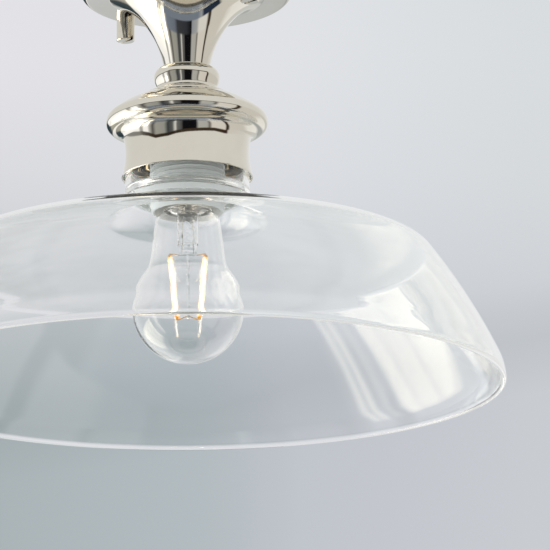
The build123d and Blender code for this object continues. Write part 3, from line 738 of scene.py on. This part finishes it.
# ---------------------------------------------------------------- world
# Metal and glass mirror a room, painted by direction: bands by height, each with its own colours around
# the horizon. The camera sees a plain wall behind the fitting, and surfaces get soft even light.
world = bpy.data.worlds.new("studio")
bpy.context.scene.world = world
world.use_nodes = True
tree = world.node_tree
tree.nodes.clear()
coords = tree.nodes.new("ShaderNodeTexCoord")
path = tree.nodes.new("ShaderNodeLightPath")


def dot(vector):
    """How far the ray points along a vector."""
    node = tree.nodes.new("ShaderNodeVectorMath")
    node.operation = "DOT_PRODUCT"
    node.inputs[1].default_value = vector
    tree.links.new(coords.outputs["Generated"], node.inputs[0])
    return node.outputs["Value"]


bearing = calc(tree, "ARCTAN2", dot(tuple(side)), dot(tuple(-away)))
turn = calc(tree, "ADD", calc(tree, "DIVIDE", bearing, 2 * math.pi), 0.5)
rise = calc(tree, "ADD", calc(tree, "MULTIPLY", dot(tuple(up)), 0.5), 0.5)


def horizon(stops):
    """Ramp around the horizon, from (bearing, value) pairs.

    A bearing is in degrees: 0 is the camera's side, 90 its right, 180 behind the fitting.
    """
    return ramp(tree, turn, [(degrees / 360.0 + 0.5, value) for degrees, value in stops], "LINEAR")


def heights(stops, interpolation="EASE", source=rise):
    """Ramp up the sky, from (degrees above the horizon, value) pairs."""
    places = [(math.sin(math.radians(degrees)) * 0.5 + 0.5, value) for degrees, value in stops]
    return ramp(tree, source, places, interpolation)


def band(below, low, high, tone, source=rise):
    """Adds a tone to the room from a height upwards, with an edge between low and high."""
    return mix(tree, heights([(low, 0.0), (high, 1.0)], source=source), below, tone)


black, ink = (0.006, 0.006, 0.008), (0.05, 0.055, 0.065)
brown, navy, slate = (0.05, 0.035, 0.022), (0.022, 0.035, 0.075), (0.21, 0.25, 0.32)
grey, frame_grey, table_grey = (0.42, 0.43, 0.43), (0.55, 0.55, 0.54), (0.40, 0.42, 0.43)
cream, light, white, day = (0.70, 0.69, 0.65), (0.80, 0.80, 0.79), (1.15, 1.17, 1.2), (0.95, 0.96, 0.97)
pale, wall_pale, sand = (0.80, 0.81, 0.82), (0.62, 0.65, 0.65), (0.52, 0.52, 0.50)
seam, boards, under = (0.055, 0.052, 0.042), (0.56, 0.50, 0.41), (0.22, 0.25, 0.235)
curtain_tone, sun, line_tone = (0.022, 0.045, 0.06), (4.7, 4.4, 3.7), (0.20, 0.24, 0.25)

ceiling_tone = horizon([
    (-180, pale), (-150, (0.78, 0.785, 0.77)), (-60, (0.80, 0.80, 0.77)), (120, (0.77, 0.77, 0.74)),
    (155, (0.84, 0.85, 0.85)), (180, pale),
])
rail = horizon([
    (-180, (0.42, 0.44, 0.44)), (-168, (0.15, 0.17, 0.17)), (-150, (0.30, 0.31, 0.30)),
    (-96, (0.26, 0.26, 0.25)), (-86, (0.12, 0.11, 0.10)), (-66, brown), (-28, (0.03, 0.022, 0.015)),
    (-4, brown), (60, brown), (76, (0.05, 0.02, 0.012)), (80, cream), (150, light), (180, (0.62, 0.64, 0.64)),
])
# Window posts, furniture and a doorway, which reach over two bands.
standing = [
    (-92, grey), (-87, frame_grey), (-85, white), (-76, white), (-72, frame_grey), (-65, (0.10, 0.10, 0.09)),
    (-58, (0.40, 0.40, 0.38)), (-42, (0.36, 0.37, 0.35)), (-35, ink), (-26, (0.12, 0.13, 0.13)), (-21, light),
    (-18, (0.16, 0.17, 0.17)), (-10, (0.09, 0.09, 0.095)), (-7, black), (16, black), (21, (0.50, 0.51, 0.50)),
    (36, (0.48, 0.49, 0.48)), (41, (0.16, 0.15, 0.14)), (46, (0.78, 0.76, 0.72)), (72, (0.76, 0.74, 0.70)),
    (75, brown), (79, brown), (83, cream),
]
wall = horizon([
    (-180, wall_pale), (-171, (0.60, 0.64, 0.62)), (-167, (0.05, 0.08, 0.07)), (-153, navy), (-150, white),
    (-97, white), *standing, (150, (0.68, 0.68, 0.65)), (180, wall_pale),
])
sill = horizon([
    (-180, (0.60, 0.63, 0.66)), (-174, (0.66, 0.68, 0.72)), (-171, day), (-97, white), *standing,
    (120, cream), (135, (0.92, 0.92, 0.90)), (162, (0.95, 0.95, 0.94)), (170, (0.40, 0.43, 0.44)),
    (180, (0.60, 0.63, 0.64)),
])
table = horizon([
    (-180, table_grey), (-174, (0.45, 0.47, 0.50)), (-171, day), (-150, white), (-95, white),
    (-84, (0.62, 0.62, 0.60)), (-76, light), (-70, slate), (-44, (0.17, 0.20, 0.26)), (-34, ink),
    (-2, (0.035, 0.04, 0.05)), (17, black), (21, (0.34, 0.37, 0.42)), (38, (0.42, 0.44, 0.47)), (46, light),
    (70, light), (76, brown), (81, brown), (84, cream), (150, cream), (180, table_grey),
])
rug = horizon([
    (-180, sand), (-130, light), (-98, cream), (-88, (0.30, 0.29, 0.26)), (-78, slate),
    (40, (0.20, 0.24, 0.31)), (52, (0.36, 0.39, 0.44)), (60, navy), (102, (0.02, 0.032, 0.05)), (110, cream),
    (150, (0.62, 0.60, 0.55)), (180, sand),
])
# The edge of the ceiling isn't level all round: its height follows the walls.
sway_share = 0.2
sway = horizon([
    (-180, 0.37), (-150, 0.50), (-90, 0.53), (-75, 0.46), (-60, 0.31), (-35, 0.35), (-20, 0.46), (0, 0.545),
    (30, 0.61), (50, 0.63), (72, 0.55), (100, 0.57), (180, 0.57),
])
swayed = calc(tree, "ADD", rise, calc(tree, "MULTIPLY", calc(tree, "SUBTRACT", sway, 0.5), sway_share))
room = band(under, -74, -70, boards)
room = band(room, -62.5, -61.5, seam)
room = band(room, -58.5, -57.0, rug)
room = band(room, -43.5, -41.5, table)
room = band(room, -29.0, -26.0, sill)
room = band(room, -8.0, -5.0, wall)
room = band(room, 5.5, 7.0, rail, swayed)
room = band(room, 9.6, 10.8, ceiling_tone, swayed)

# A dark curtain beside the window, which only the metal shows: no glass lies between.
curtain = horizon([(-171, 0.0), (-169, 1.0), (-155, 1.0), (-153, 0.0)])
curtain_rise = heights([(-30, 0.0), (-28, 1.0), (3, 1.0), (6, 0.0)], "LINEAR")
seen_bare = calc(tree, "LESS_THAN", path.outputs["Transmission Depth"], 0.5)
curtain_mask = calc(tree, "MULTIPLY", calc(tree, "MULTIPLY", curtain, curtain_rise), seen_bare)
room = mix(tree, curtain_mask, room, curtain_tone)

# Sunlit panes, brighter than the rest of the window.
panes = horizon([
    (-174, 0.0), (-171.5, 0.08), (-160, 0.10), (-150, 0.10), (-142, 0.12), (-138, 0.70), (-124, 0.80),
    (-117, 0.70), (-116, 0.35), (-115, 0.80), (-104, 0.85), (-103, 0.45), (-102, 1.0), (-96, 1.0), (-94, 0.10),
    (-91, 0.03), (-89.5, 0.30), (-87.5, 0.28), (-86, 0.03), (-84.5, 0.10), (-83.5, 0.75), (-81.0, 0.65),
    (-80.3, 0.10), (-79.6, 0.70), (-77.0, 0.65), (-75.5, 0.0),
])
pane_rise = heights([(-52, 0.0), (-46, 0.8), (-20, 1.0), (-15, 0.85), (-11, 0.10), (2, 0.0)], "LINEAR")
room = mix(tree, calc(tree, "MULTIPLY", panes, pane_rise), room, sun)

# Plain wall behind the fitting: light above, a soft tilted line where it turns, grey green at the lower left.
across_scale = 2.5
tilt_start, tilt_slope = 0.38, 0.031
across = calc(tree, "ADD", calc(tree, "MULTIPLY", dot(tuple(side)), across_scale), 0.5)
wall_low = ramp(tree, across, [
    (0.30, (0.375, 0.425, 0.44)), (0.38, (0.41, 0.46, 0.48)), (0.51, (0.45, 0.50, 0.525)),
    (0.58, (0.53, 0.555, 0.60)), (0.74, (0.58, 0.60, 0.635)),
], "LINEAR")
wall_high = ramp(tree, across, [
    (0.38, (0.765, 0.76, 0.795)), (0.58, (0.745, 0.76, 0.79)), (0.74, (0.69, 0.72, 0.74)),
], "LINEAR")
wall_blend = heights([(12.0, 0.0), (13.0, 0.12), (14.6, 0.55), (15.6, 0.80), (17.5, 1.0)], "LINEAR")
backdrop = mix(tree, wall_blend, wall_low, wall_high)
tilt = calc(tree, "MULTIPLY", calc(tree, "SUBTRACT", across, tilt_start, clamp=True), tilt_slope)
tilted_rise = calc(tree, "SUBTRACT", rise, tilt)
line = heights([(10.7, 0.0), (11.7, 0.16), (12.9, 0.0)], source=tilted_rise)
backdrop = mix(tree, line, backdrop, line_tone)
backdrop = mix(tree, heights([(-12, 1.0), (6, 0.0)]), backdrop, (0.66, 0.68, 0.70))

# What each kind of ray sees.
even_light = (0.62, 0.63, 0.64)
plain = calc(tree, "MAXIMUM", path.outputs["Is Camera Ray"], path.outputs["Is Transmission Ray"])
mirrored = calc(tree, "GREATER_THAN", path.outputs["Glossy Depth"], 0.5)
shown = mix(tree, mirrored, mix(tree, plain, even_light, backdrop), room)
background = tree.nodes.new("ShaderNodeBackground")
background.inputs["Strength"].default_value = 1.0
tree.links.new(shown, background.inputs["Color"])
world_output = tree.nodes.new("ShaderNodeOutputWorld")
tree.links.new(background.outputs["Background"], world_output.inputs["Surface"])

bpy.context.scene.view_settings.view_transform = "Standard"
